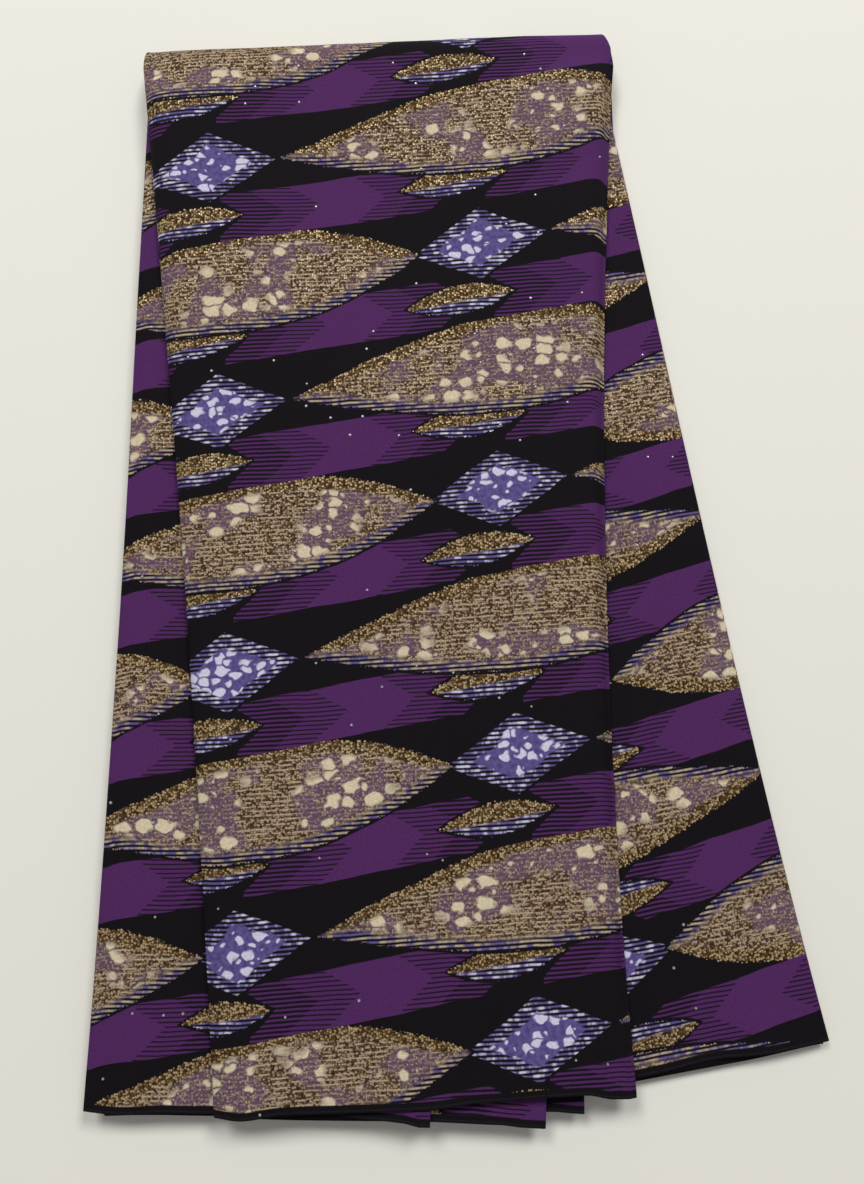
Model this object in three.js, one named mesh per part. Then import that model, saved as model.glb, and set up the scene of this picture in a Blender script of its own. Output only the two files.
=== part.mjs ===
import * as THREE from "three";

// Cloth and pile, in millimetres
const SHEET = 1.0;
const PITCH = 1.4;

// A layer runs on level for a ledge past the edge of a lower one, then sinks over a skirt
const LEDGE = 6;
const SKIRT = 105;

// Line of the fold at the top: its height up the pile at x = 0, and its slope
const FOLD_Y = 318.5;
const FOLD_SLOPE = 0.066;

// Rows of the mesh down each half, round the fold at the top and round each crease
const FRONT_ROWS = 10;
const BACK_ROWS = 4;
const FOLD_ROWS = 5;
const BEND_ROWS = 4;

// Creases in order along the cloth, its two cut ends first and last: x at the fold, sideways bow
// at the middle of the front half, then the lower end on the front half and on the back half
const CREASES = [
  { name: "first cut end", foldX: 14, bow: 0, frontX: -1, frontY: -270, backX: 62, backY: -240 },
  { name: "left wing", foldX: -163, bow: 0, frontX: -176, frontY: -264, backX: -156, backY: -248 },
  { name: "tuck", foldX: -143, bow: 3, frontX: -105, frontY: -266, backX: -130, backY: -248 },
  { name: "face left", foldX: -167, bow: 4, frontX: -109, frontY: -265.5, backX: -150, backY: -248 },
  { name: "face right", foldX: 106, bow: -10, frontX: 103, frontY: -257, backX: 152, backY: -234 },
  { name: "inner left 1", foldX: -121, bow: 0, frontX: -166, frontY: -267, backX: -14, backY: -271 },
  { name: "inner right 1", foldX: 98, bow: 0, frontX: 57, frontY: -272, backX: 203, backY: -235 },
  { name: "inner left 2", foldX: -119, bow: 0, frontX: -158, frontY: -265, backX: -12, backY: -270 },
  { name: "inner right 2", foldX: 97, bow: 0, frontX: 77, frontY: -266, backX: 205, backY: -232.5 },
  { name: "last cut end", foldX: -116, bow: 0, frontX: -132, frontY: -260, backX: -8, backY: -268 },
];

// Layers in the same order, each between two creases: place in the front half counted from the
// top, and columns of the mesh across it
const LAYERS = [
  { name: "under layer", place: 3, columns: 11 },
  { name: "left wing", place: 2, columns: 4 },
  { name: "tuck", place: 1, columns: 2 },
  { name: "face", place: 0, columns: 12 },
  { name: "inner 1", place: 4, columns: 12 },
  { name: "inner 2", place: 5, columns: 12 },
  { name: "inner 3", place: 6, columns: 12 },
  { name: "inner 4", place: 7, columns: 12 },
  { name: "inner 5", place: 8, columns: 12 },
];

const FRONT = 0;
const BACK = 1;

const mix = (a, b, t) => a + (b - a) * t;
const clamp = (v) => Math.min(1, Math.max(0, v));
const smooth = (t) => t * t * (3 - 2 * t);
const foldY = (x) => FOLD_Y + FOLD_SLOPE * x;

// Side position of a crease, down one half
function creaseX(crease, half, down) {
  if (half === BACK) return mix(crease.foldX, crease.backX, down);
  return mix(crease.foldX, crease.frontX, down) + 4 * crease.bow * down * (1 - down);
}

const creaseEnd = (crease, half) => (half === BACK ? crease.backY : crease.frontY);

// Share of a layer that lies under a point: one inside its outline, falling to zero beside it
function cover(index, half, x, y) {
  const a = CREASES[index];
  const b = CREASES[index + 1];
  const guess = clamp((foldY(x) - y) / (foldY(x) - creaseEnd(a, half)));
  const across = clamp(
    (x - creaseX(a, half, guess)) / (creaseX(b, half, guess) - creaseX(a, half, guess)),
  );
  const end = mix(creaseEnd(a, half), creaseEnd(b, half), across);
  const down = clamp((foldY(x) - y) / (foldY(x) - end));
  const xa = creaseX(a, half, down);
  const xb = creaseX(b, half, down);
  const beside = Math.max(Math.min(xa, xb) - x, x - Math.max(xa, xb), 0);
  const below = Math.max(end - y, 0);
  return 1 - smooth(clamp((Math.hypot(beside, below) - LEDGE) / SKIRT));
}

// Height of a layer's middle: the layers under it at that point
function height(index, half, x, y) {
  const place = LAYERS[index].place;
  let under = 0;
  LAYERS.forEach((layer, other) => {
    if (half === FRONT || layer.place < place) under += cover(other, BACK, x, y);
    if (half === FRONT && layer.place > place) under += cover(other, FRONT, x, y);
  });
  return SHEET / 2 + PITCH * under;
}

// Stops across the cloth: within a layer, or round the crease that ends it
function stopsAcross() {
  const stops = [];
  LAYERS.forEach((layer, index) => {
    for (let i = 0; i <= layer.columns; i++) {
      stops.push({ layer: index, across: i / layer.columns, turn: 0 });
    }
    if (index < LAYERS.length - 1) {
      for (let i = 1; i < BEND_ROWS; i++) {
        stops.push({ layer: index, across: 1, turn: (i / BEND_ROWS) * Math.PI });
      }
    }
  });
  return stops;
}

// Half the height between two layers where a crease joins them
function bendRadius(crease, half, down) {
  if (crease === 0 || crease === LAYERS.length) return 0;
  const x = creaseX(CREASES[crease], half, down);
  const y = mix(foldY(x), creaseEnd(CREASES[crease], half), down);
  return (height(crease - 1, half, x, y) - height(crease, half, x, y)) / 2;
}

// Middle of the sheet at a stop, down one half
function point(stop, half, down) {
  const a = CREASES[stop.layer];
  const b = CREASES[stop.layer + 1];
  const side = Math.sign(creaseX(b, half, 0) - creaseX(a, half, 0));
  const first = Math.abs(bendRadius(stop.layer, half, down));
  const last = bendRadius(stop.layer + 1, half, down);
  const xa = creaseX(a, half, down) + side * first;
  const xb = creaseX(b, half, down) - side * Math.abs(last);
  const flatX = mix(xa, xb, stop.across);
  const end = mix(creaseEnd(a, half), creaseEnd(b, half), stop.across);
  const y = mix(foldY(flatX), end, down);
  const z = height(stop.layer, half, flatX, y);
  return new THREE.Vector3(
    flatX + side * Math.abs(last) * Math.sin(stop.turn),
    y,
    z - last * (1 - Math.cos(stop.turn)),
  );
}

// Line of the sheet's middle at one stop: up the front half, over the fold and down the back half
function lineAt(stop) {
  const line = [];
  for (let i = FRONT_ROWS; i > 0; i--) line.push(point(stop, FRONT, i / FRONT_ROWS));
  const front = point(stop, FRONT, 0);
  const back = point(stop, BACK, 0);
  const radius = (front.z - back.z) / 2;
  for (let i = 0; i <= FOLD_ROWS; i++) {
    const turn = (i / FOLD_ROWS) * Math.PI;
    line.push(
      new THREE.Vector3(
        front.x,
        front.y + radius * Math.sin(turn),
        back.z + radius * (1 + Math.cos(turn)),
      ),
    );
  }
  for (let i = 1; i <= BACK_ROWS; i++) line.push(point(stop, BACK, i / BACK_ROWS));
  return line;
}

// Directions square to the sheet at every point of the grid
function normals(grid) {
  const columns = grid.length;
  const rows = grid[0].length;
  return grid.map((line, i) =>
    line.map((_, j) => {
      const before = grid[Math.max(i - 1, 0)][j];
      const after = grid[Math.min(i + 1, columns - 1)][j];
      const lower = line[Math.max(j - 1, 0)];
      const upper = line[Math.min(j + 1, rows - 1)];
      const along = after.clone().sub(before);
      return along.cross(upper.clone().sub(lower)).normalize();
    }),
  );
}

// Closed solid of even thickness about a grid of points
function thickSheet(grid) {
  const columns = grid.length;
  const rows = grid[0].length;
  const square = normals(grid);
  const position = [];
  for (const side of [1, -1]) {
    grid.forEach((line, i) =>
      line.forEach((p, j) => {
        position.push(...p.clone().addScaledVector(square[i][j], (side * SHEET) / 2));
      }),
    );
  }
  const last = columns - 1;
  const outer = (i, j) => i * rows + j;
  const inner = (i, j) => columns * rows + i * rows + j;
  const index = [];
  const quad = (a, b, c, d) => index.push(a, b, c, a, c, d);
  for (let i = 0; i < columns - 1; i++) {
    for (let j = 0; j < rows - 1; j++) {
      // Every layer is split along the same slant, so neighbours keep their distance
      const slant = grid[i + 1][j + 1].clone().sub(grid[i][j]);
      if (slant.x * slant.y > 0) {
        quad(outer(i, j), outer(i + 1, j), outer(i + 1, j + 1), outer(i, j + 1));
        quad(inner(i, j), inner(i, j + 1), inner(i + 1, j + 1), inner(i + 1, j));
      } else {
        quad(outer(i + 1, j), outer(i + 1, j + 1), outer(i, j + 1), outer(i, j));
        quad(inner(i, j + 1), inner(i + 1, j + 1), inner(i + 1, j), inner(i, j));
      }
    }
    quad(outer(i, 0), inner(i, 0), inner(i + 1, 0), outer(i + 1, 0));
    quad(outer(i + 1, rows - 1), inner(i + 1, rows - 1), inner(i, rows - 1), outer(i, rows - 1));
  }
  for (let j = 0; j < rows - 1; j++) {
    quad(outer(0, j + 1), inner(0, j + 1), inner(0, j), outer(0, j));
    quad(outer(last, j), inner(last, j), inner(last, j + 1), outer(last, j + 1));
  }
  return new THREE.BufferGeometry()
    .setAttribute("position", new THREE.Float32BufferAttribute(position, 3))
    .setIndex(index);
}

// The cloth, with the middle of its underside at the origin
const geometry = thickSheet(stopsAcross().map(lineAt));
geometry.computeBoundingBox();
const box = geometry.boundingBox;
const middle = box.getCenter(new THREE.Vector3());
geometry.translate(-middle.x, -middle.y, -box.min.z);
geometry.computeVertexNormals();

const cloth = new THREE.Mesh(
  geometry,
  new THREE.MeshStandardMaterial({ color: 0x3a2448, roughness: 0.85, metalness: 0 }),
);
cloth.name = "cloth";

const part = new THREE.Group();
part.name = "folded_cloth";
part.add(cloth);

export default part;
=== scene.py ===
"""A length of printed cotton, pleated back and forth, folded over at the top and laid flat."""

import math
from collections import namedtuple

import bpy
import numpy as np
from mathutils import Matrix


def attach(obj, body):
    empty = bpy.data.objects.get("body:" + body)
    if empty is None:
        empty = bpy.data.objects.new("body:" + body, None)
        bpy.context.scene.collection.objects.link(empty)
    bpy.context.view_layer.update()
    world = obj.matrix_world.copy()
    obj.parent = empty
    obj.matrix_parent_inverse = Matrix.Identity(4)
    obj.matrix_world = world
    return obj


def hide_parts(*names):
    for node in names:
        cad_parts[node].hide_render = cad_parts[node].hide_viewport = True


bl_info = {
    "name": "Folded printed cloth",
    "version": (1, 0, 0),
    "blender": (4, 5, 0),
    "location": "3D View > Sidebar > Folded cloth",
    "description": "Lays a pleated and folded length of printed cotton with pressed-on stones",
    "category": "Add Mesh",
}

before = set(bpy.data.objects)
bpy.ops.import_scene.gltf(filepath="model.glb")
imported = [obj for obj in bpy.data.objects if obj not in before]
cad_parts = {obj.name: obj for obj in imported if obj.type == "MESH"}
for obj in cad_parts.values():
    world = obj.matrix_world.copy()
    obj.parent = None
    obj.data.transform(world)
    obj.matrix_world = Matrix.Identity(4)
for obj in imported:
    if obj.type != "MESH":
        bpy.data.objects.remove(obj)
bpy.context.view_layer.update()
MM = 0.001
METRE = 1 / MM

CLOTH_NODE = "cloth"
BODY = "root"
CLOTH_PIECE = "printed_cotton"
STONE_PIECE = "pressed_stones"
FLAT_MAP = "flat_cloth"
SELVAGE_FIELD = "selvage"

# Middle of the pile's underside in the millimetres below, which the frame has at its origin
PILE_MIDDLE = (14.5, 30.66, 0.07)

# Thickness of the frame's own sheet, in millimetres: the drawn sheet has the same lowest middle
FRAME_SHEET = 1.0

# Front half of the flat cloth from selvage to fold, in millimetres
FRONT_HEIGHT = 584.0

# Line where the fold at the top begins, in millimetres: its place at x = 0, its slope and its waves
FOLD_Y = 313.8
FOLD_SLOPE = 0.066
FOLD_WAVES = [
    (-170, 4.8), (-164, 2.0), (-160, 0.95), (-146, -2.2), (-136, -3.9), (-124, -4.2),
    (-104, -3.15), (-88, -1.6), (-54, 1.2), (-30, 1.6), (20, 0.55), (40, 0.5),
    (52, 0.85), (86, 0.7), (98, 0.55), (110, 0.7),
]

# The fold stands out further than a half circle, and is drawn in near its right end: how far, from
# where and over what spread, then the share of it where the fold starts and its reach down a half
FOLD_ROUND = 1.6
PINCH = 6.0
PINCH_X = 60
PINCH_SPREAD = 45
PINCH_START = 0.4
PINCH_REACH = 0.02

# Creases in order along the cloth, its cut ends first and last, in millimetres: x at the fold,
# sideways bow halfway down, the lower end on the front half and on the back half, and a second bow
# two thirds of the way down
Crease = namedtuple("Crease", "name fold_x bow front_x front_y back_x back_y low_bow", defaults=[0])
CREASES = [
    Crease("first cut end", 14, 0, -1, -270, 62, -240),
    Crease("left wing", -163.5, 0, -176, -264, -156, -248, 2),
    Crease("tuck", -143, 3, -105, -266, -130, -248),
    Crease("face left", -167, 4, -109, -265.5, -150, -248),
    Crease("face right", 106.6, -10, 103, -257, 152, -234),
    Crease("inner left 1", -121, 0, -166, -267, -14, -271),
    Crease("inner right 1", 98, 0, 57, -272, 203, -235, -3),
    Crease("inner left 2", -119, 0, -158, -265, -12, -270),
    Crease("inner right 2", 97, 0, 77, -266, 205, -232.5, -3),
    Crease("last cut end", -116, 0, -132, -260, -8, -268),
]

# Layers between the creases: place in the front half counted from the top, columns of the mesh
# across it, and the turn of its grain in degrees on the front half and on the back half
Layer = namedtuple("Layer", "name place columns front_turn back_turn")
LAYERS = [
    Layer("under layer", 3, 16, -1.6, 5.4),
    Layer("left wing", 2, 14, 0.0, 3.8),
    Layer("tuck", 1, 4, 6.8, -3.0),
    Layer("face", 0, 60, 3.6, 0.2),
    Layer("inner 1", 4, 20, -3.4, 10.2),
    Layer("inner 2", 5, 20, -4.6, 11.0),
    Layer("inner 3", 6, 20, -4.2, 11.0),
    Layer("inner 4", 7, 20, -3.4, 10.6),
    Layer("inner 5", 8, 44, -2.0, 10.4),
]
UNDER_LAYER, LEFT_WING, TUCK, FACE = 0, 1, 2, 3
INNER_1, INNER_2, INNER_3, INNER_4, RIGHT_WING = 4, 5, 6, 7, 8

FRONT, BACK, NEITHER = 0, 1, 2

# Uneven lower edges, by layer and half: stops across the layer and the rise there in millimetres
HEMS = {
    (FACE, FRONT): [
        (0, 0), (0.06, -1.3), (0.16, 0.4), (0.5, 0.1), (0.66, 2.4),
        (0.81, 3.9), (0.88, 3.8), (0.95, 1.2), (1, 0.2),
    ],
    (LEFT_WING, FRONT): [(0, 0), (0.25, -1.0), (0.6, 0.6), (1, 0)],
    (UNDER_LAYER, FRONT): [
        (0, 0), (0.03, 0.1), (0.06, 1.4), (0.19, 2.2), (0.39, 4.4), (0.6, 3), (1, 0),
    ],
    (INNER_1, FRONT): [(0, 0.2), (0.15, 4.2), (0.27, 2.8), (0.4, 0.6), (0.6, -0.4), (1, 0)],
    (INNER_2, FRONT): [(0, 0), (0.15, 0.7), (0.3, 0), (0.73, 2), (0.9, 1.3), (0.96, 0.2), (1, 0)],
    (INNER_3, FRONT): [(0, 0), (0.05, 0.4), (0.15, 1.6), (0.4, 2), (1, 0)],
    (INNER_4, FRONT): [(0, 0), (0.8, 1.2), (0.93, 1.1), (1, 0)],
    (RIGHT_WING, FRONT): [(0, 0), (0.08, 0.9), (0.3, 1.0), (1, 0)],
    (RIGHT_WING, BACK): [(0, 0), (0.12, -0.8), (0.28, 1.3), (0.44, -0.6), (1, 0)],
    (INNER_4, BACK): [(0, 0), (0.5, -1.6), (0.75, -0.4), (0.9, -1.2), (1, 0)],
    (INNER_3, BACK): [(0, 0.4), (0.2, -1.0), (0.5, -1.4), (1, 0)],
}
LEVEL_HEM = [(0, 0), (1, 0)]

# Power of the way down by which a hem's rise gathers at the lower edge
HEM_POWER = 6

# Soft ridges and troughs, by layer and half: ends, half width and height in millimetres
Ridge = namedtuple("Ridge", "x0 y0 x1 y1 width height")
RIDGES = {
    (FACE, FRONT): [
        Ridge(-140, 290, -40, 268, 16, 0.9),
        Ridge(20, 302, 70, 290, 12, 0.8),
        Ridge(52, 252, 90, 273, 8, 1.5),
        Ridge(62, 240, 100, 258, 7, -0.4),
        Ridge(30, 240, 98, 205, 20, 0.8),
        Ridge(-118, 60, -96, -190, 14, 0.9),
        Ridge(-60, 150, 40, 40, 30, 0.7),
        Ridge(62, 60, 84, -160, 18, 0.9),
        Ridge(-30, -120, -10, -262, 22, 0.8),
        Ridge(42, -205, 60, -262, 13, 1.2),
        Ridge(-98, -225, -90, -266, 10, 0.9),
        Ridge(0, -40, 80, -60, 25, -0.35),
    ],
    (UNDER_LAYER, FRONT): [Ridge(-6, -266, -8, -275, 8, 1.8)],
    (INNER_1, FRONT): [Ridge(48, -268, 56, -276, 9, 0.8)],
    (LEFT_WING, FRONT): [Ridge(-158, 20, -163, -220, 9, 0.5)],
    (RIGHT_WING, BACK): [
        Ridge(122, 60, 168, -150, 16, 0.9),
        Ridge(150, -150, 165, -238, 13, 0.9),
        Ridge(112, 10, 128, -120, 12, -0.3),
    ],
}

# Rolls of the face beside its two creases, in millimetres: height at the fold and lower down, share
# of the way down where that is reached, and reach of the rise and of the fall beside the crease
Roll = namedtuple("Roll", "top foot settle rise fall")
FACE_LEFT_ROLL = Roll(5.0, 2.6, 0.4, 5, 35)
FACE_RIGHT_ROLL = Roll(6.0, 3.2, 0.5, 5, 45)
ROLL_START = 0.035

# Rolls of the wings at their outer creases, full where the wing shows this wide
WingRoll = namedtuple("WingRoll", "height rise fall full_width")
LEFT_WING_ROLL = WingRoll(1.1, 4, 11, 40)
RIGHT_WING_ROLL = WingRoll(1.3, 5, 18, 50)

# Slack of the whole pile, as a share of its height, and the valley under the face's left crease
SLACK = 0.05
VALLEY_DEPTH = 0.17
VALLEY_REACH = 10
VALLEY_START = 0.3

# Curl of the face's right edge down on to the layers beside it, which fades towards the hem
CURL_DROP = 5.0
CURL_REACH = 4.5
CURL_START = 0.045
CURL_FADE = 0.84
CURL_FADE_LENGTH = 0.14
CURL_AT_HEM = 0.15

# Drag of the print along rolled edges, in millimetres
DRAG = 1.6
DRAG_REACH = 5.0
DRAG_START = 0.15

# Rows of the mesh down each half, with closer ones in the part next to the fold
FRONT_ROWS = 62
TOP_ROWS = 5
TOP_PART = 0.03
BACK_ROWS = 46
FOLD_ROWS = 14
BEND_ROWS = 6

# Share by which the columns of the mesh crowd towards the creases
CROWDING = 0.6

# Angle between two faces past which the edge stays sharp
SHARP_ANGLE = math.radians(70)

# Selvage distance given to the turn of the fold, which is far from it
FAR_FROM_SELVAGE = 500.0

# Motifs in one repeat of the print, in millimetres: middle in the row, half length and half height
Motif = namedtuple("Motif", "x y length height")
LEAF = Motif(-38, 10, 112, 27.5)
LOZENGE = Motif(109, 10, 38, 21)
SPRIG = Motif(-18, -21, 30, 8.2)
CHEVRON = Motif(-36, -21.5, 61, 14.2)
OUTLINE = 1.5
LEAF_SWELL = 0.3
LEAF_RIM = 6
LOZENGE_RIM = 7
LOZENGE_DEPTH = 20
CHEVRON_LEAN = 1.3
CHEVRON_SOLID = 19
CHEVRON_FINE = 40
FRINGE_Y = -22.5
FRINGE_SHARE = 0.45
SELVAGE_WIDTH = 4
THREAD_PLACE = 1.2
THREAD_HALF = 0.3

# Grains of the cotton, for its shade and for its weave: scale for each millimetre, detail, weight
Grain = namedtuple("Grain", "scale detail weight")
COTTON_SHADE = 0.47
SHADE_GRAINS = (Grain(0.9, 2.0, 0.48), Grain(2.2, 1.0, 0.58))
WEAVE_GRAINS = (Grain(0.16, 2.0, 0.9), Grain(1.4, 2.0, 0.5))
WEAVE_STRENGTH = 0.2
WEAVE_DEPTH = 0.0006

# Cut of a stone: sides, share of the flat top, and least and greatest size
STONE_SIDES = 8
STONE_TOP = 0.55
STONE_LEAST = 0.8
STONE_GREATEST = 1.1

# Margin kept free of stones beside the face, in millimetres
STONE_MARGIN = 3

# Stage, in metres, with the camera's place in the pile's millimetres
FLOOR_REACH = 6.0
FLOOR_ROUGHNESS = 0.7
ROOM_TINT = (0.98, 0.99, 1.0, 1.0)
Lamp = namedtuple("Lamp", "name place size")
LAMPS = (Lamp("key", (-1.45, 2.9, 3.9), 1.6), Lamp("fill", (1.55, 3.1, 3.9), 1.6))
CAMERA_PLACE = (0, -70, 528)
SENSOR_WIDTH = 36.0


def srgb(red, green, blue):
    """A colour of eight-bit steps as linear light."""
    steps = np.array([red, green, blue]) / 255
    linear = np.where(steps <= 0.04045, steps / 12.92, ((steps + 0.055) / 1.055) ** 2.4)
    return (*linear.tolist(), 1.0)


def colour_property(name, description, red, green, blue):
    """A colour that a user can change."""
    return bpy.props.FloatVectorProperty(
        name=name,
        description=description,
        default=srgb(red, green, blue),
        subtype="COLOR",
        size=4,
        min=0,
        max=1,
    )


def length_property(name, description, default):
    """A length in metres that a user can change."""
    return bpy.props.FloatProperty(
        name=name, description=description, default=default, unit="LENGTH"
    )


class ClothSizes(bpy.types.PropertyGroup):
    """Sizes of the sheet and of its pile"""

    sheet: length_property("Sheet", "Thickness of the cloth", 0.0007)
    pitch: length_property("Pitch", "Height from one layer to the next", 0.0014)
    ledge: length_property("Ledge", "Level run past the edge of a lower layer", 0.006)
    skirt: length_property("Skirt", "Reach over which a layer then sinks", 0.105)
    length: length_property("Cut length", "Length of the flat cloth", 1.60)
    width: length_property("Woven width", "Flat cloth from selvage to selvage", 1.165)


class PrintLooks(bpy.types.PropertyGroup):
    """Sizes and colours of the print"""

    row: length_property("Row", "Height of one row of the print", 0.071)
    repeat: length_property("Repeat", "Length of one repeat along a row", 0.300)
    slant: bpy.props.FloatProperty(
        name="Slant", description="Rise of a row for each length along the cloth", default=0.13
    )
    hatch: length_property("Hatch", "Distance between hatch lines", 0.0023)
    black: colour_property("Black", "Ground of the print", 16, 12, 16)
    purple: colour_property("Purple", "Chevrons", 78, 38, 90)
    lilac: colour_property("Lilac", "Lozenges", 97, 83, 137)
    violet: colour_property("Violet", "Deeper patches in the lozenges", 78, 65, 120)
    white: colour_property("White", "Pebbles in the lozenges", 204, 200, 220)
    mauve: colour_property("Mauve", "Patches in the leaves", 98, 75, 98)
    dash: colour_property("Dash", "Broken lines in the leaves", 180, 161, 136)
    cream: colour_property("Cream", "Pebbles in the leaves", 214, 200, 168)
    thread: colour_property("Thread", "Thread at the selvage", 27, 25, 30)
    glitter_dark: colour_property("Dark glitter", "Between grains of glitter", 46, 31, 19)
    glitter_gold: colour_property("Gold glitter", "Most grains of glitter", 97, 73, 41)
    # Pale glitter: partly the glitter's own colour, partly painted glint on the brightest grains
    glitter_pale_and_glint: colour_property("Pale glitter", "Brightest grains of glitter", 201, 179, 138)


class StoneSizes(bpy.types.PropertyGroup):
    """Sizes and spread of the pressed-on stones"""

    radius: length_property("Radius", "Radius of a stone's flat back", 0.0008)
    height: length_property("Height", "Height of a stone", 0.0007)
    spacing: length_property("Spacing", "Least distance between stones", 0.008)
    density: bpy.props.FloatProperty(
        name="Density", description="Stones for each square metre", default=620.0
    )
    seed: bpy.props.IntProperty(name="Seed", description="Choice of their places", default=7)
    grey: colour_property("Grey", "Dull silvering", 168, 168, 176)
    bright: colour_property("Bright", "Clear silvering", 228, 228, 232)


class StageLooks(bpy.types.PropertyGroup):
    """Floor, light and camera"""

    floor: colour_property("Floor", "Colour of the floor", 234, 231, 221)
    room: bpy.props.FloatProperty(
        name="Room light", description="Strength of the light from all round", default=0.26
    )
    key: bpy.props.FloatProperty(
        name="Key light", description="Power of the light on the left", default=115.0, unit="POWER"
    )
    fill: bpy.props.FloatProperty(
        name="Fill light", description="Power of the light on the right", default=127.0, unit="POWER"
    )
    lens: bpy.props.FloatProperty(
        name="Lens", description="Focal length for the sensor's width", default=29.13, unit="CAMERA"
    )
    tilt: bpy.props.FloatProperty(
        name="Tilt",
        description="Lean of the camera from straight down",
        default=math.radians(7.8),
        subtype="ANGLE",
    )


def mix(a, b, t):
    return a + (b - a) * t


def ease(t):
    """A share from nought to one that starts and ends softly."""
    t = np.clip(t, 0, 1)
    return t * t * (3 - 2 * t)


def near(distance, reach):
    """One at no distance, fading to nothing past a reach."""
    return np.exp(-((distance / reach) ** 2))


def beside(distance, rise, fall):
    """Nothing at a crease, rising close beside it and falling off further away."""
    distance = np.maximum(distance, 0)
    return (1 - np.exp(-distance / rise)) * np.exp(-distance / fall)


def eased_stops(stops, places):
    """Values at places, eased from stop to stop."""
    at_stop, value = (np.array(v, float) for v in zip(*stops))
    at = np.clip(np.searchsorted(at_stop, places, "right") - 1, 0, len(at_stop) - 2)
    part = ease((places - at_stop[at]) / (at_stop[at + 1] - at_stop[at]))
    return mix(value[at], value[at + 1], part)


def fold_y(x):
    """Height up the pile at which the fold begins."""
    return FOLD_Y + FOLD_SLOPE * x + np.interp(x, *zip(*FOLD_WAVES))


def pinch(x):
    """How far the cloth is drawn in where it turns over the fold."""
    return PINCH * ease((x - PINCH_X) / PINCH_SPREAD)


def crease_x(crease, half, down):
    """Side position of a crease, down one half. Each bow is whole where it is widest."""
    foot = crease.back_x if half == BACK else crease.front_x
    middle_bow = 4 * crease.bow * down * (1 - down)
    low_bow = 27 / 4 * crease.low_bow * down**2 * (1 - down)
    return mix(crease.fold_x, foot, down) + middle_bow + low_bow


def crease_end(crease, half):
    return crease.back_y if half == BACK else crease.front_y


def heading(index):
    """One where a layer runs to the right along the cloth, minus one where it runs to the left."""
    return math.copysign(1, CREASES[index + 1].fold_x - CREASES[index].fold_x)


def down_half(end, x, y):
    """Share of the way from the fold down to an end at a point."""
    return np.clip((fold_y(x) - y) / (fold_y(x) - end), 0, 1)


def down_front(x, y):
    """Share of the way down the front half at a point."""
    return down_half(CREASES[FACE].front_y, x, y)


def face_edges(x, y):
    """Left and right edges of the face at the height of a point."""
    down = down_front(x, y)
    return crease_x(CREASES[FACE], FRONT, down), crease_x(CREASES[FACE + 1], FRONT, down)


class Pile:
    """The lie of the layers, in millimetres."""

    def __init__(self, sizes):
        self.pitch = sizes.pitch / MM
        self.ledge = sizes.ledge / MM
        self.skirt = sizes.skirt / MM

    def cover(self, index, half, x, y):
        """Share of a layer under a point: one inside its outline, falling to nothing beside it."""
        a, b = CREASES[index], CREASES[index + 1]
        guess = down_half(crease_end(a, half), x, y)
        xa, xb = crease_x(a, half, guess), crease_x(b, half, guess)
        across = np.clip((x - xa) / (xb - xa), 0, 1)
        end = mix(crease_end(a, half), crease_end(b, half), across)
        down = down_half(end, x, y)
        xa, xb = crease_x(a, half, down), crease_x(b, half, down)
        outside = np.maximum(np.maximum(np.minimum(xa, xb) - x, x - np.maximum(xa, xb)), 0)
        below = np.maximum(end - y, 0)
        return 1 - ease((np.hypot(outside, below) - self.ledge) / self.skirt)

    def height(self, index, half, x, y):
        """Height of a layer's middle: the layers under it at that point."""
        place = LAYERS[index].place
        under = np.zeros_like(x)
        for other, layer in enumerate(LAYERS):
            if half == FRONT or layer.place < place:
                under += self.cover(other, BACK, x, y)
            if half == FRONT and layer.place > place:
                under += self.cover(other, FRONT, x, y)
        return FRAME_SHEET / 2 + self.pitch * under

    def bend(self, crease, half, down):
        """Half the height between two layers where a crease joins them."""
        if crease in (0, len(LAYERS)):
            return np.zeros_like(down)
        x = crease_x(CREASES[crease], half, down)
        y = mix(fold_y(x), crease_end(CREASES[crease], half), down)
        return (self.height(crease - 1, half, x, y) - self.height(crease, half, x, y)) / 2


def face_roll(roll, distance, down):
    """Rise of the face at a distance from one of its creases."""
    return mix(roll.top, roll.foot, ease(down / roll.settle)) * beside(distance, roll.rise, roll.fall)


def wing_roll(roll, distance, width):
    """Rise of a wing at a distance from its outer crease, where it shows this wide."""
    return roll.height * beside(distance, roll.rise, roll.fall) * ease(width / roll.full_width)


def rolled(index, half, x, y):
    """Rise of a showing layer beside its creases, which are rolled and not pressed flat."""
    left, right = face_edges(x, y)
    if (index, half) == (FACE, FRONT):
        down = down_front(x, y)
        near_left = face_roll(FACE_LEFT_ROLL, x - left, down)
        near_right = face_roll(FACE_RIGHT_ROLL, right - x, down)
        return (near_left + near_right) * ease(down / ROLL_START)
    if (index, half) == (LEFT_WING, FRONT):
        edge = crease_x(CREASES[LEFT_WING], FRONT, down_front(x, y))
        return wing_roll(LEFT_WING_ROLL, x - edge, left - edge)
    if (index, half) == (RIGHT_WING, BACK):
        crease = CREASES[RIGHT_WING]
        edge = crease_x(crease, BACK, down_half(crease.back_y, x, y))
        return wing_roll(RIGHT_WING_ROLL, edge - x, edge - right)
    return np.zeros_like(x)


def curl(index, half, x, y):
    """Drop of the face's right edge on to the layers beside it."""
    if half == BACK or index not in (FACE, INNER_1):
        return np.zeros_like(x)
    right = face_edges(x, y)[1]
    down = down_front(x, y)
    part = ease(down / CURL_START)
    part = part * mix(1, CURL_AT_HEM, ease((down - CURL_FADE) / CURL_FADE_LENGTH))
    return CURL_DROP * near(right - x, CURL_REACH) * part


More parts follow.
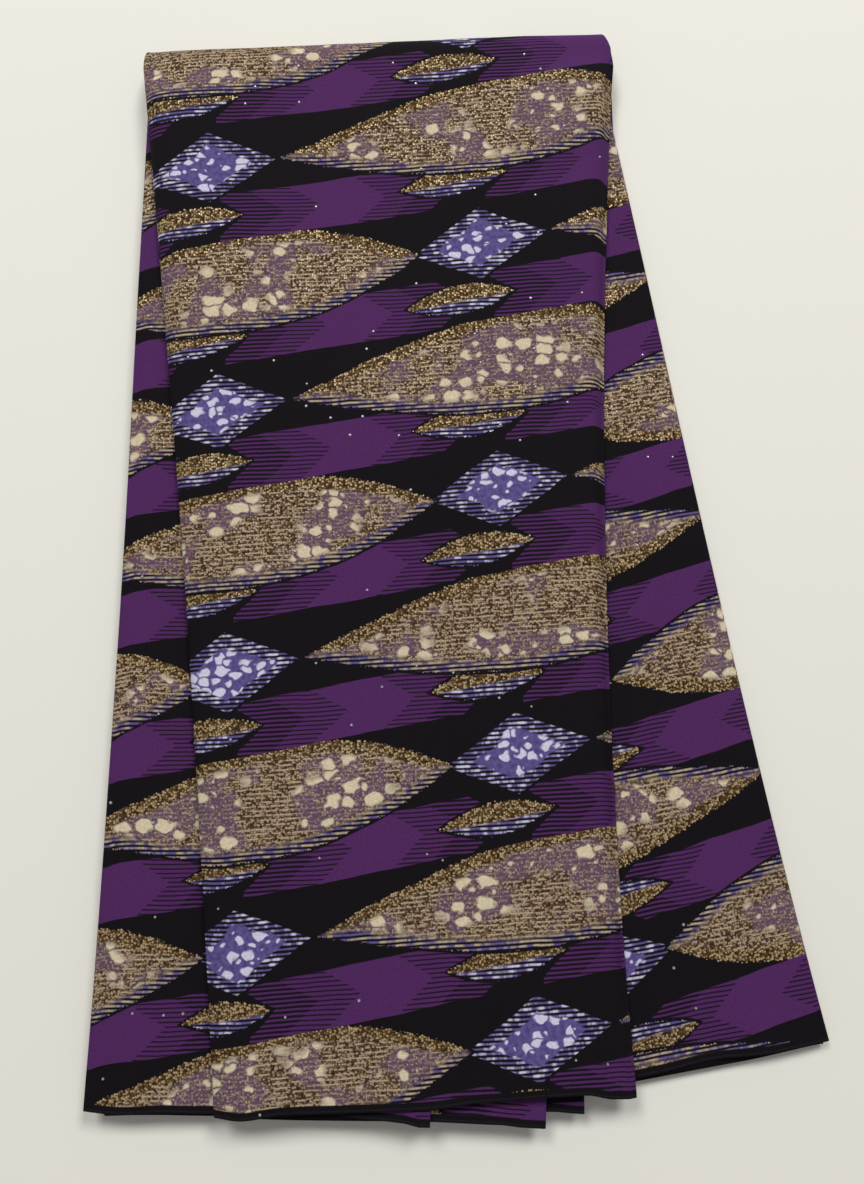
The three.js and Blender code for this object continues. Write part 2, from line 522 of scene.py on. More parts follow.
def ridge_rise(ridge, x, y):
    """Rise of one ridge: whole along its line, fading beside it."""
    dx, dy = ridge.x1 - ridge.x0, ridge.y1 - ridge.y0
    part = np.clip(((x - ridge.x0) * dx + (y - ridge.y0) * dy) / (dx * dx + dy * dy), 0, 1)
    away = np.hypot(x - ridge.x0 - part * dx, y - ridge.y0 - part * dy)
    return ridge.height * near(away, ridge.width)


def slack(index, half, x, y):
    """Share by which a layer stands higher or lower than the pile under it: waves and a valley."""
    crossed = np.sin(x / 47 + 1.3) * np.sin(y / 83 + 0.4)
    aslant = np.sin((x + 1.7 * y) / 71)
    waves = SLACK * (0.6 * crossed + 0.4 * aslant)
    if half == FRONT and LAYERS[index].place <= LAYERS[TUCK].place:
        return waves
    left = face_edges(x, y)[0]
    return waves - VALLEY_DEPTH * ease(down_front(x, y) / VALLEY_START) * near(x - left, VALLEY_REACH)


def uneven(index, half, x, y, z):
    """Height with the slack of the pile, rolled and curled creases and the listed ridges."""
    rise = rolled(index, half, x, y) - curl(index, half, x, y)
    for ridge in RIDGES.get((index, half), []):
        rise = rise + ridge_rise(ridge, x, y)
    lowest = FRAME_SHEET / 2
    return lowest + (z - lowest) * (1 + slack(index, half, x, y)) + rise


def drag(index, x, y):
    """Pull of the print along the face's right edge and the left wing's edge."""
    down = down_front(x, y)
    if index in (FACE, INNER_1):
        away = crease_x(CREASES[FACE + 1], FRONT, down) - x
    elif index in (UNDER_LAYER, LEFT_WING):
        away = x - crease_x(CREASES[LEFT_WING], FRONT, down)
    else:
        return np.zeros_like(x)
    return DRAG * near(away, DRAG_REACH) * ease(down / DRAG_START)


def layer_stops(index):
    """Stops across a layer, then round the crease that ends it: share across and turn."""
    across = np.linspace(0, 1, LAYERS[index].columns + 1)
    across = mix(across, (1 - np.cos(across * math.pi)) / 2, CROWDING)
    turn = np.zeros_like(across)
    if index < len(LAYERS) - 1:
        bend = np.arange(1, BEND_ROWS) / BEND_ROWS * math.pi
        across = np.append(across, np.ones_like(bend))
        turn = np.append(turn, bend)
    return across, turn


def half_points(pile, index, half, down):
    """Middle of the sheet over one layer and one half: x, y, z, and x as if laid out flat."""
    a, b = CREASES[index], CREASES[index + 1]
    across, turn = layer_stops(index)
    across, turn, down = across[:, None], turn[:, None], down[None, :]
    side = heading(index)
    first = np.abs(pile.bend(index, half, down))
    last = pile.bend(index + 1, half, down)
    xa = crease_x(a, half, down) + side * first
    xb = crease_x(b, half, down) - side * np.abs(last)
    flat_x = mix(xa, xb, across)
    y = mix(fold_y(flat_x), mix(crease_end(a, half), crease_end(b, half), across), down)
    z = pile.height(index, half, flat_x, y)
    z = uneven(index, half, flat_x, y, z) - last * (1 - np.cos(turn))
    hem_rise = eased_stops(HEMS.get((index, half), LEVEL_HEM), across)
    y = y + hem_rise * down**HEM_POWER
    x = flat_x + side * np.abs(last) * np.sin(turn)
    return x, y, z, flat_x + side * np.abs(last) * turn


def flat_frames(pile):
    """For each layer, its first crease at mid height: flat place along and up the cloth, x and y."""
    middle = np.array([0.5])
    frames = []
    along, up = 0.0, FRONT_HEIGHT / 2
    for index, layer in enumerate(LAYERS):
        a, b = CREASES[index], CREASES[index + 1]
        xa, xb = crease_x(a, FRONT, 0.5), crease_x(b, FRONT, 0.5)
        ya = mix(fold_y(xa), a.front_y, 0.5)
        yb = mix(fold_y(xb), b.front_y, 0.5)
        frames.append((along, up, xa, ya))
        turn = math.radians(layer.front_turn)
        dx, dy = xb - xa, yb - ya
        bend = float(np.abs(pile.bend(index + 1, FRONT, middle))[0])
        along += abs(dx * math.cos(turn) + dy * math.sin(turn)) + (math.pi - 2) * bend
        up += -dx * math.sin(turn) + dy * math.cos(turn)
    return frames


def layer_grid(pile, index, flat_frame, front_down, back_down):
    """One layer up the front half, over the fold and down the back half, as grids."""
    side = heading(index)
    turn = np.linspace(0, math.pi, FOLD_ROWS + 1)
    arc = np.cumsum(np.hypot(FOLD_ROUND * np.diff(np.sin(turn)), np.diff(np.cos(turn))))
    turn = turn[1:-1]
    fx, fy, fz, f_flat = half_points(pile, index, FRONT, front_down)
    bx, by, bz, b_flat = half_points(pile, index, BACK, back_down)
    radius = (fz[:, -1:] - bz[:, :1]) / 2
    tx = fx[:, -1:] - pinch(fx[:, -1:]) * mix(PINCH_START, 1, np.sin(turn))
    ty = fy[:, -1:] + FOLD_ROUND * radius * np.sin(turn)
    tz = bz[:, :1] + radius * (1 + np.cos(turn))

    # Flat places along and up the cloth, on the front half, over the fold and on the back half
    along, up, x0, y0 = flat_frame
    grain = math.radians(LAYERS[index].front_turn)
    fu = along + side * ((f_flat - x0) * math.cos(grain) + (fy - y0) * math.sin(grain))
    fv = up - (f_flat - x0) * math.sin(grain) + (fy - y0) * math.cos(grain) + drag(index, fx, fy)
    tu = np.repeat(fu[:, -1:], len(turn), 1)
    tv = fv[:, -1:] + radius * arc[:-1]
    grain = math.radians(LAYERS[index].back_turn)
    anchor = len(fu) // 2
    ax, ay = b_flat[anchor, 0], by[anchor, 0]
    au = fu[anchor, -1]
    av = fv[anchor, -1] + radius[anchor, 0] * arc[-1]
    bu = au + side * ((b_flat - ax) * math.cos(grain) + (by - ay) * math.sin(grain))
    bv = av + (b_flat - ax) * math.sin(grain) - (by - ay) * math.cos(grain)

    # Distance to the nearest selvage
    f_edge = (1 - front_down)[None, :] * (fold_y(fx) - fy[:, :1])
    b_edge = (1 - back_down)[None, :] * (fold_y(bx) - by[:, -1:])
    t_edge = np.full_like(tx, FAR_FROM_SELVAGE)

    fx = fx - pinch(fx) * PINCH_START * (1 - ease(front_down / PINCH_REACH))
    bx = bx - pinch(bx) * PINCH_START * (1 - ease(back_down / PINCH_REACH))
    place = [np.hstack(parts) for parts in ((fx, tx, bx), (fy, ty, by), (fz, tz, bz))]
    flat = [np.hstack(parts) for parts in ((fu, tu, bu), (fv, tv, bv))]
    halves = ((fx, FRONT), (tx, NEITHER), (bx, BACK))
    return {
        "point": np.stack(place, -1),
        "flat": np.stack(flat, -1),
        "edge": np.hstack([f_edge, t_edge, b_edge]),
        "layer": np.full(len(fx), index),
        "flat_part": layer_stops(index)[1] == 0,
        "half": np.hstack([np.full_like(part, half) for part, half in halves]),
    }


def cloth_grid(pile):
    """The whole sheet's middle as grids of points, with its flat places and its selvage distance."""
    below_top = np.linspace(1, TOP_PART, FRONT_ROWS, endpoint=False)
    front_down = np.append(below_top, np.linspace(TOP_PART, 0, TOP_ROWS + 1))
    back_down = np.linspace(0, 1, BACK_ROWS + 1)
    layers = [
        layer_grid(pile, index, flat_frame, front_down, back_down)
        for index, flat_frame in enumerate(flat_frames(pile))
    ]
    return {key: np.concatenate([layer[key] for layer in layers]) for key in layers[0]}


def laid_cloth(sizes):
    """The cloth's grids, and its points in metres in the frame."""
    grid = cloth_grid(Pile(sizes))
    return grid, (grid["point"] - PILE_MIDDLE) * MM


def grid_normals(point):
    """Directions square to the sheet at every point of a grid."""
    before = np.concatenate([point[:1], point[:-1]])
    after = np.concatenate([point[1:], point[-1:]])
    lower = np.concatenate([point[:, :1], point[:, :-1]], 1)
    upper = np.concatenate([point[:, 1:], point[:, -1:]], 1)
    square = np.cross(after - before, upper - lower)
    return square / np.linalg.norm(square, axis=-1, keepdims=True)


def thick_sheet(name, point, flat, edge, thickness):
    """A closed sheet of even thickness about a grid, with its flat places as a map."""
    columns, rows = point.shape[:2]
    square = grid_normals(point)
    sides = [point + square * thickness / 2, point - square * thickness / 2]
    vertices = np.concatenate([s.reshape(-1, 3) for s in sides])
    outer = np.arange(columns * rows).reshape(columns, rows)
    inner = outer + columns * rows

    def quads(a, b, c, d):
        return np.stack([a.ravel(), b.ravel(), c.ravel(), d.ravel()], 1)

    faces = np.concatenate(
        [
            quads(outer[:-1, :-1], outer[1:, :-1], outer[1:, 1:], outer[:-1, 1:]),
            quads(inner[:-1, :-1], inner[:-1, 1:], inner[1:, 1:], inner[1:, :-1]),
            quads(outer[:-1, 0], inner[:-1, 0], inner[1:, 0], outer[1:, 0]),
            quads(outer[1:, -1], inner[1:, -1], inner[:-1, -1], outer[:-1, -1]),
            quads(outer[0, 1:], inner[0, 1:], inner[0, :-1], outer[0, :-1]),
            quads(outer[-1, :-1], inner[-1, :-1], inner[-1, 1:], outer[-1, 1:]),
        ]
    )
    mesh = bpy.data.meshes.new(name)
    mesh.vertices.add(len(vertices))
    mesh.vertices.foreach_set("co", vertices.ravel())
    mesh.loops.add(faces.size)
    mesh.loops.foreach_set("vertex_index", faces.ravel())
    mesh.polygons.add(len(faces))
    mesh.polygons.foreach_set("loop_start", np.arange(0, faces.size, faces.shape[1]))
    mesh.update(calc_edges=True)
    mesh.validate()
    places = np.concatenate([flat.reshape(-1, 2)] * 2)
    layer = mesh.uv_layers.new(name=FLAT_MAP)
    layer.data.foreach_set("uv", places[faces.ravel()].ravel())
    field = mesh.attributes.new(SELVAGE_FIELD, "FLOAT", "POINT")
    field.data.foreach_set("value", np.concatenate([edge.ravel()] * 2))
    mesh.polygons.foreach_set("use_smooth", np.ones(len(faces), bool))
    mesh.set_sharp_from_angle(angle=SHARP_ANGLE)
    return mesh


class Value:
    """One socket of a node tree. Arithmetic on it adds Math nodes to its tree."""

    def __init__(self, socket):
        self.socket = socket

    def node(self, kind, settings, inputs, output=0):
        """Adds a node with its settings, then its values and links, and returns one output."""
        tree = self.socket.id_data
        made = tree.nodes.new(kind)
        for key, value in settings.items():
            if key == "stops":
                ramp = made.color_ramp
                while len(ramp.elements) < len(value):
                    ramp.elements.new(1.0)
                for element, (place, colour) in zip(ramp.elements, value):
                    element.position, element.color = place, colour
            else:
                setattr(made, key, value)
        for key, value in inputs.items():
            if isinstance(value, Value):
                tree.links.new(value.socket, made.inputs[key])
            else:
                made.inputs[key].default_value = value
        return Value(made.outputs[output])

    def also(self, output):
        """Another output of the same node."""
        return Value(self.socket.node.outputs[output])

    def feed(self, shader, name):
        """Links this to an input of a shader."""
        self.socket.id_data.links.new(self.socket, shader.inputs[name])

    def math(self, operation, *values):
        return self.node("ShaderNodeMath", {"operation": operation}, dict(enumerate(values)))

    def __add__(self, other):
        return self.math("ADD", self, other)

    def __sub__(self, other):
        return self.math("SUBTRACT", self, other)

    def __rsub__(self, other):
        return self.math("SUBTRACT", other, self)

    def __mul__(self, other):
        return self.math("MULTIPLY", self, other)

    def __truediv__(self, other):
        return self.math("DIVIDE", self, other)

    def __rtruediv__(self, other):
        return self.math("DIVIDE", other, self)

    def __abs__(self):
        return self.math("ABSOLUTE", self)

    __radd__ = __add__
    __rmul__ = __mul__

    def floor(self):
        return self.math("FLOOR", self)

    def fract(self):
        return self.math("FRACT", self)

    def least(self, other):
        return self.math("MINIMUM", self, other)

    def most(self, other):
        return self.math("MAXIMUM", self, other)

    def clamp(self):
        return self.node("ShaderNodeClamp", {}, {"Value": self})

    def inside(self, soft=0.35):
        """One where a distance into a motif is positive, with a soft edge."""
        return (self / soft + 0.5).clamp()

    def paint(self, under, over):
        """The colour under, with the colour over laid on by this share."""
        inputs = {0: self, 6: under, 7: over}
        return self.node("ShaderNodeMix", {"data_type": "RGBA"}, inputs, output=2)

    def join(self, other):
        """A place in the plane from two lengths."""
        return self.node("ShaderNodeCombineXYZ", {}, {"X": self, "Y": other})

    def noise(self, scale, detail=2.0, output="Fac"):
        settings = {"noise_dimensions": "2D"}
        inputs = {"Vector": self, "Scale": scale, "Detail": detail}
        return self.node("ShaderNodeTexNoise", settings, inputs, output)

    def cells(self, scale, feature="F1", output="Distance"):
        settings = {"voronoi_dimensions": "2D", "feature": feature}
        return self.node("ShaderNodeTexVoronoi", settings, {"Vector": self, "Scale": scale}, output)

    def red(self):
        return self.node("ShaderNodeSeparateColor", {}, {"Color": self}, output=0)

    def green(self):
        return self.node("ShaderNodeSeparateColor", {}, {"Color": self}, output=1)


def pebbles(flat, scale, least):
    """Round spots of mixed sizes, where the chance of one grows as its least falls."""
    distance = flat.cells(scale)
    chance = distance.also("Color").red()
    apart = flat.cells(scale, "DISTANCE_TO_EDGE") - 0.07
    return ((chance - least) * 0.5 + 0.1 - distance).least(apart).inside(0.11)


class PrintGround:
    """What all motifs of the print share: flat places in millimetres, grains, patches and inks."""

    def __init__(self, place, looks):
        self.looks = looks
        self.row, self.repeat, self.pitch = (v / MM for v in (looks.row, looks.repeat, looks.hatch))
        along = place.node("ShaderNodeSeparateXYZ", {}, {0: place})
        up = along.also("Y") * METRE
        along = along * METRE
        flat = along.join(up)
        self.flat = flat

        # Lines wander a little, and colours come and go in patches
        drift = flat.noise(0.03, 3.0, "Color")
        along = along + (drift.red() - 0.5) * 5
        self.up = up + (drift.green() - 0.5) * 2
        self.mottle = flat.noise(0.07, 2.0)
        line = (self.up / self.pitch).floor()
        self.streak = along.join(line * 7.3).noise(0.2, 2.0)
        blur = flat.noise(0.18, 1.0, "Color")
        self.round_x = along + (blur.red() - 0.5) * 5
        self.round_y = self.up + (blur.green() - 0.5) * 3.5

        # Grains of glitter, which also make its edges ragged. The brightest grains are painted pale:
        # partly the glitter's own colour, partly painted glint
        dot = flat.cells(0.85)
        self.grain = dot.also("Color").red()
        self.speck = (0.3 + self.grain * 0.7) * (1.5 - dot * 1.6).clamp()
        stops = [(0.2, looks.glitter_dark), (0.52, looks.glitter_gold), (1.0, looks.glitter_pale_and_glint)]
        self.glitter = self.speck.node("ShaderNodeValToRGB", {"stops": stops}, {"Fac": self.speck})
        self.ragged = (self.speck - 0.5) * 1.6
        self.line_ink = ((self.streak - 0.57) * 5).inside(1.0).paint(looks.lilac, looks.white)

        # Place in the repeat, which shifts by half from row to row
        level = self.up - along * looks.slant
        count = (level / self.row).floor()
        self.y = level - (count + 0.5) * self.row
        shifted = along + (count / 2).fract() * self.repeat
        self.x = (shifted / self.repeat).fract() * self.repeat - self.repeat / 2
        half = self.repeat / 2
        self.half_x = ((shifted - CHEVRON.x) / half).fract() * half - half / 2

    def hatch(self, share):
        """Level lines that each cover a share of their pitch."""
        middle = abs((self.up / self.pitch).fract() - 0.5) * 2
        return ((share - middle) * (self.pitch / 2)).inside(0.5)

    def outlined(self, colour, depth):
        """Black under a motif and a little past its edge."""
        return (depth + OUTLINE).inside().paint(colour, self.looks.black)


def paint_chevrons(ground):
    """Purple chevrons on black, lined at both ends."""
    band = abs(ground.y - CHEVRON.y)
    reach = abs(ground.half_x + band * CHEVRON_LEAN)
    share = 0.70 - (reach - CHEVRON_FINE).inside(1.0) * 0.22
    lined = (CHEVRON.length - reach).inside(1.0) * ground.hatch(share)
    solid = (CHEVRON_SOLID - reach).inside(1.0)
    purple = (CHEVRON.height - band).inside() * solid.most(lined)
    return purple.paint(ground.looks.black, ground.looks.purple)


def paint_sprigs(ground, colour):
    """Gold sprigs in the gaps between chevrons, fringed below: the colour, and where they are."""
    gap = abs(abs(ground.half_x - SPRIG.x) - ground.repeat / 4)
    depth = (1 - gap * gap / SPRIG.length**2) * SPRIG.height - abs(ground.y - SPRIG.y)
    fringe = (FRINGE_Y - ground.y).inside(1.0)
    ink = fringe.paint(ground.glitter, ground.line_ink)
    kept = (depth + ground.ragged).inside() * (1 - fringe * (1 - ground.hatch(FRINGE_SHARE)))
    return kept.paint(ground.outlined(colour, depth), ink), kept


def paint_lozenges(ground, colour):
    """Lilac lozenges with white pebbles and lined points."""
    looks = ground.looks
    x, y = abs(ground.x - LOZENGE.x), abs(ground.y - LOZENGE.y)
    depth = (1 - x / LOZENGE.length - y / LOZENGE.height) * LOZENGE_DEPTH
    spots = pebbles((ground.round_x / 1.25).join(ground.round_y), 0.17, 0.1)
    cloudy = ((ground.flat.noise(0.45, 3.0) - 0.5) * 4 + 0.4).clamp()
    lilac = spots.paint(cloudy.paint(looks.lilac, looks.violet), looks.white)
    lines = ground.hatch(0.22 + ground.streak * 0.4).paint(looks.black, ground.line_ink)
    middle = (depth - LOZENGE_RIM + (ground.mottle - 0.5) * 8).inside(1.0)
    return depth.inside().paint(ground.outlined(colour, depth), middle.paint(lines, lilac))


def leaf_inside(ground, depth):
    """Lines and patches within a leaf: their colour, and where the patches are."""
    looks, grain = ground.looks, ground.grain
    broken = ((ground.streak - 0.45) * 7 + (ground.speck - 0.5) * 2).inside(1.2)
    dash = ground.hatch(0.3) * broken
    lined = dash.paint((grain * 0.22).paint(ground.glitter, looks.mauve), looks.dash)
    patch = ((ground.flat.noise(0.03, 2.0) - 0.5) * 12).inside(1.0) * (depth - 7).inside(3.0)
    dusty = (grain * 0.6).paint(looks.mauve, ground.glitter)
    colour = patch.paint(lined, (dash * 0.3).paint(dusty, looks.dash))
    spots = pebbles((ground.round_x / 1.35).join(ground.round_y), 0.125, 0.2) * patch
    return (spots * (1 - grain * 0.2)).paint(colour, looks.cream), patch


def paint_leaves(ground, colour):
    """Glittering leaves that break up below: the colour, where they are and their patches."""
    looks = ground.looks
    t = (ground.x - LEAF.x) / LEAF.length
    rise = ground.y - LEAF.y
    depth = (1 - t * t) * (1 + LEAF_SWELL * t) * LEAF.height - abs(rise)
    inner, patch = leaf_inside(ground, depth)
    ink = (depth - LEAF_RIM + (ground.mottle - 0.5) * 9).inside(1.5).paint(ground.glitter, inner)
    below = (0 - rise).inside(4.0) * (5.5 - depth).inside(3.0)
    below_ink = ((ground.streak - 0.5) * 5).inside(1.0).paint(looks.lilac, looks.dash)
    ink = below.paint(ink, below_ink)
    kept = (depth + ground.ragged).inside() * (1 - below * (1 - ground.hatch(FRINGE_SHARE)))
    return kept.paint(ground.outlined(colour, depth), ink), kept, patch


def paint_selvage(ground, colour):
    """Black selvage, with one thread at its edge."""
    settings = {"attribute_name": SELVAGE_FIELD}
    edge = ground.flat.node("ShaderNodeAttribute", settings, {}, "Fac") * METRE
    colour = (SELVAGE_WIDTH - edge).inside(0.5).paint(colour, ground.looks.black)
    thread = (THREAD_HALF - abs(edge - THREAD_PLACE)).inside(0.4)
    return thread.paint(colour, ground.looks.thread)


def grains(flat, kinds):
    """A coarse and a fine grain, each at its weight."""
    return (flat.noise(kind.scale, kind.detail) * kind.weight for kind in kinds)


def printed_cotton(looks):
    """Cotton printed with rows of leaves, lozenges and hatched chevrons."""
    material = bpy.data.materials.new("printed_cotton")
    material.use_nodes = True
    tree = material.node_tree
    shader = tree.nodes["Principled BSDF"]
    place = Value(tree.nodes.new("ShaderNodeUVMap").outputs[0])
    place.socket.node.uv_map = FLAT_MAP
    ground = PrintGround(place, looks)
    colour, sprig_kept = paint_sprigs(ground, paint_chevrons(ground))
    colour, leaf_kept, patch = paint_leaves(ground, paint_lozenges(ground, colour))
    colour = paint_selvage(ground, colour)

    # Grain and sparkle
    coarse, fine = grains(ground.flat, SHADE_GRAINS)
    shade = COTTON_SHADE + coarse + fine
    inputs = {0: colour, "Scale": shade}
    shade.node("ShaderNodeVectorMath", {"operation": "SCALE"}, inputs).feed(shader, "Base Color")
    bright = ((ground.speck - 0.72) * 4).clamp()
    sparkle = leaf_kept.most(sprig_kept) * (1 - patch) * bright
    (0.85 - sparkle * 0.4).feed(shader, "Roughness")
    (sparkle * 0.5).feed(shader, "Metallic")
    shader.inputs["Specular IOR Level"].default_value = 0.12
    coarse, fine = grains(ground.flat, WEAVE_GRAINS)
    inputs = {"Strength": WEAVE_STRENGTH, "Distance": WEAVE_DEPTH, "Height": coarse + fine}
    place.node("ShaderNodeBump", {}, inputs).feed(shader, "Normal")
    return material


def silvered_stone(stones):
    """Cut stones with silvered backs."""
    material = bpy.data.materials.new("silvered_stone")
    material.use_nodes = True
    tree = material.node_tree
    shader = tree.nodes["Principled BSDF"]
    place = Value(tree.nodes.new("ShaderNodeTexCoord").outputs["Object"])
    tint = place.node("ShaderNodeTexNoise", {}, {"Vector": place, "Scale": 300.0}, "Fac")
    tint.paint(stones.grey, stones.bright).feed(shader, "Base Color")
    (0.3 + tint * 0.15).feed(shader, "Roughness")
    shader.inputs["Metallic"].default_value = 0.55
    return material


def stone_spread():
    """Node tree that spreads faceted stones over a surface and keeps the stones alone."""
    tree = bpy.data.node_groups.new("stone_spread", "GeometryNodeTree")
    for name, kind in (
        ("Surface", "NodeSocketGeometry"),
        ("Radius", "NodeSocketFloat"),
        ("Height", "NodeSocketFloat"),
        ("Spacing", "NodeSocketFloat"),
        ("Density", "NodeSocketFloat"),
        ("Seed", "NodeSocketInt"),
        ("Finish", "NodeSocketMaterial"),
    ):
        tree.interface.new_socket(name, in_out="INPUT", socket_type=kind)
    tree.interface.new_socket("Stones", in_out="OUTPUT", socket_type="NodeSocketGeometry")
    surface = Value(tree.nodes.new("NodeGroupInput").outputs["Surface"])
    seed = surface.also("Seed")
    points = surface.node(
        "GeometryNodeDistributePointsOnFaces",
        {"distribute_method": "POISSON"},
        {
            "Mesh": surface,
            "Distance Min": surface.also("Spacing"),
            "Density Max": surface.also("Density"),
            "Seed": seed,
        },
    )
    radius = surface.also("Radius")
    stone = surface.node(
        "GeometryNodeMeshCone",
        {"fill_type": "NGON"},
        {
            "Vertices": STONE_SIDES,
            "Radius Top": radius * STONE_TOP,
            "Radius Bottom": radius,
            "Depth": surface.also("Height"),
        },
    )
    inputs = {2: STONE_LEAST, 3: STONE_GREATEST, 8: seed}
    size = surface.node("FunctionNodeRandomValue", {"data_type": "FLOAT"}, inputs, output=1)
    placed = points.node(
        "GeometryNodeInstanceOnPoints",
        {},
        {"Points": points, "Instance": stone, "Rotation": points.also("Rotation"), "Scale": size},
    )
    real = placed.node("GeometryNodeRealizeInstances", {}, {"Geometry": placed})
    inputs = {"Geometry": real, "Material": surface.also("Finish")}
    finished = real.node("GeometryNodeSetMaterial", {}, inputs)
    tree.links.new(finished.socket, tree.nodes.new("NodeGroupOutput").inputs["Stones"])
    return tree


def put_in_scene(name, data):
    """A new object at the origin that holds a mesh, a lamp or a camera."""
    made = bpy.data.objects.new(name, data)
    bpy.context.scene.collection.objects.link(made)
    return made


def showing_mesh(grid, outer):
    """The parts of the cloth's outer side that show: the face and what reaches past its edges."""
    x, y = grid["point"][..., 0], grid["point"][..., 1]
    left, right = face_edges(x, y)
    layer, half = grid["layer"][:, None], grid["half"]
    shows = (layer == FACE) & (half == FRONT) & (x < right - CURL_REACH)
    shows |= (layer == LEFT_WING) & (half == FRONT) & (x < left - STONE_MARGIN)
    shows |= (layer == RIGHT_WING) & (half == BACK) & (x > right + STONE_MARGIN)
    shows &= grid["flat_part"][:, None]
    whole = shows[:-1, :-1] & shows[1:, :-1] & shows[1:, 1:] & shows[:-1, 1:]
    number = np.arange(shows.size).reshape(shows.shape)
    corners = (number[:-1, :-1], number[1:, :-1], number[1:, 1:], number[:-1, 1:])
    mesh = bpy.data.meshes.new("showing")
    faces = np.stack([c[whole] for c in corners], 1)
    mesh.from_pydata(outer.reshape(-1, 3).tolist(), [], faces.tolist())
    return mesh


class FOLDED_CLOTH_OT_lay_cloth(bpy.types.Operator):
    """Lays the printed cotton in its folds"""

    bl_idname = "folded_cloth.lay_cloth"
    bl_label = "Lay the cloth"

    def execute(self, context):
        sizes = context.scene.folded_cloth_sizes
        grid, point = laid_cloth(sizes)
        mesh = thick_sheet(CLOTH_PIECE, point, grid["flat"] * MM, grid["edge"] * MM, sizes.sheet)
        mesh.materials.append(printed_cotton(context.scene.folded_cloth_print))
        piece = put_in_scene(CLOTH_PIECE, mesh)
        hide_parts(CLOTH_NODE)
        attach(piece, BODY)
        return {"FINISHED"}


class FOLDED_CLOTH_OT_press_stones(bpy.types.Operator):
    """Presses stones on to the layers that show"""

    bl_idname = "folded_cloth.press_stones"
    bl_label = "Press on the stones"

    def execute(self, context):
        sizes = context.scene.folded_cloth_sizes
        stones = context.scene.folded_cloth_stones
        grid, point = laid_cloth(sizes)
        outer = point + grid_normals(point) * sizes.sheet / 2
        piece = put_in_scene(STONE_PIECE, showing_mesh(grid, outer))
        modifier = piece.modifiers.new("stones", "NODES")
        modifier.node_group = stone_spread()
        values = {
            "Radius": stones.radius,
            "Height": stones.height,
            "Spacing": stones.spacing,
            "Density": stones.density,
            "Seed": stones.seed,
            "Finish": silvered_stone(stones),
        }
        for item in modifier.node_group.interface.items_tree:
            if item.name in values:
                modifier[item.identifier] = values[item.name]
        depsgraph = context.evaluated_depsgraph_get()
        made = bpy.data.meshes.new_from_object(piece.evaluated_get(depsgraph))
        piece.modifiers.remove(modifier)
        piece.data = made
        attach(piece, BODY)
        return {"FINISHED"}


def pale_floor(colour):
    """A level floor round the origin."""
    mesh = bpy.data.meshes.new("floor")
    low, high = -FLOOR_REACH, FLOOR_REACH
    corners = [(low, low, 0), (high, low, 0), (high, high, 0), (low, high, 0)]
    mesh.from_pydata(corners, [], [(0, 1, 2, 3)])
    material = bpy.data.materials.new("pale_floor")
    material.use_nodes = True
    shader = material.node_tree.nodes["Principled BSDF"]
    shader.inputs["Base Color"].default_value = colour
    shader.inputs["Roughness"].default_value = FLOOR_ROUGHNESS
    mesh.materials.append(material)
    return put_in_scene("floor", mesh)


def soft_room(strength):
    """Even light from all round."""
    world = bpy.data.worlds.new("soft_room")
    world.use_nodes = True
    background = world.node_tree.nodes["Background"]
    background.inputs["Color"].default_value = ROOM_TINT
    background.inputs["Strength"].default_value = strength
    return world


def hang_lamp(lamp, power):
    """A round lamp that points at the origin."""
    light = bpy.data.lights.new(lamp.name, "AREA")
    light.shape = "DISK"
    light.size = lamp.size
    light.energy = power
    holder = put_in_scene(lamp.name, light)
    holder.location = lamp.place
    direction = -holder.location
    holder.rotation_mode = "QUATERNION"
    holder.rotation_quaternion = direction.to_track_quat("-Z", "Y")


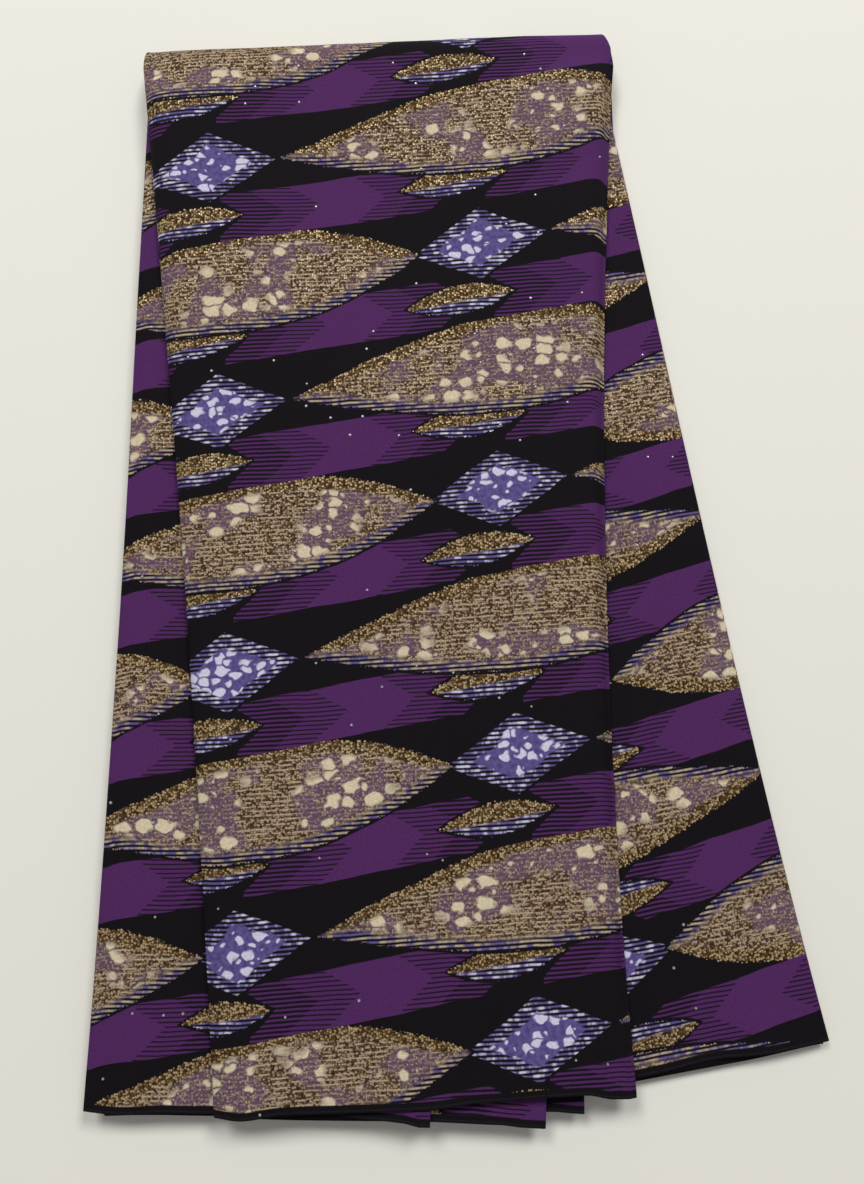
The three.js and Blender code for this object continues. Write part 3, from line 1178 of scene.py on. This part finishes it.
def set_camera(lens, tilt):
    """The camera above the pile."""
    camera = bpy.data.cameras.new("camera")
    camera.lens = lens
    camera.sensor_width = SENSOR_WIDTH
    holder = put_in_scene("camera", camera)
    holder.location = (np.array(CAMERA_PLACE) - PILE_MIDDLE) * MM
    holder.rotation_euler = (tilt, 0, 0)
    return holder


class FOLDED_CLOTH_OT_set_stage(bpy.types.Operator):
    """Sets the floor, the light and the camera"""

    bl_idname = "folded_cloth.set_stage"
    bl_label = "Set the stage"

    def execute(self, context):
        scene = context.scene
        looks = scene.folded_cloth_stage
        pale_floor(looks.floor)
        scene.world = soft_room(looks.room)
        for lamp in LAMPS:
            hang_lamp(lamp, getattr(looks, lamp.name))
        scene.camera = set_camera(looks.lens, looks.tilt)
        scene.view_settings.view_transform = "Standard"
        return {"FINISHED"}


class FOLDED_CLOTH_PT_panel(bpy.types.Panel):
    """Lists the steps that make the folded cloth, and its sizes and colours"""

    bl_idname = "FOLDED_CLOTH_PT_panel"
    bl_label = "Folded cloth"
    bl_space_type = "VIEW_3D"
    bl_region_type = "UI"
    bl_category = "Folded cloth"

    def draw(self, context):
        for operator in OPERATORS:
            self.layout.operator(operator.bl_idname)
        for name, group in GROUPS.items():
            box = self.layout.box()
            for key in group.__annotations__:
                box.prop(getattr(context.scene, name), key)


OPERATORS = (
    FOLDED_CLOTH_OT_lay_cloth,
    FOLDED_CLOTH_OT_press_stones,
    FOLDED_CLOTH_OT_set_stage,
)
GROUPS = {
    "folded_cloth_sizes": ClothSizes,
    "folded_cloth_print": PrintLooks,
    "folded_cloth_stones": StoneSizes,
    "folded_cloth_stage": StageLooks,
}
CLASSES = (*GROUPS.values(), *OPERATORS, FOLDED_CLOTH_PT_panel)


def register():
    for cls in CLASSES:
        bpy.utils.register_class(cls)
    for name, group in GROUPS.items():
        setattr(bpy.types.Scene, name, bpy.props.PointerProperty(type=group))


def unregister():
    for name in GROUPS:
        delattr(bpy.types.Scene, name)
    for cls in reversed(CLASSES):
        bpy.utils.unregister_class(cls)


def main():
    register()
    bpy.ops.folded_cloth.lay_cloth()
    bpy.ops.folded_cloth.press_stones()
    bpy.ops.folded_cloth.set_stage()


if __name__ == "__main__":
    main()
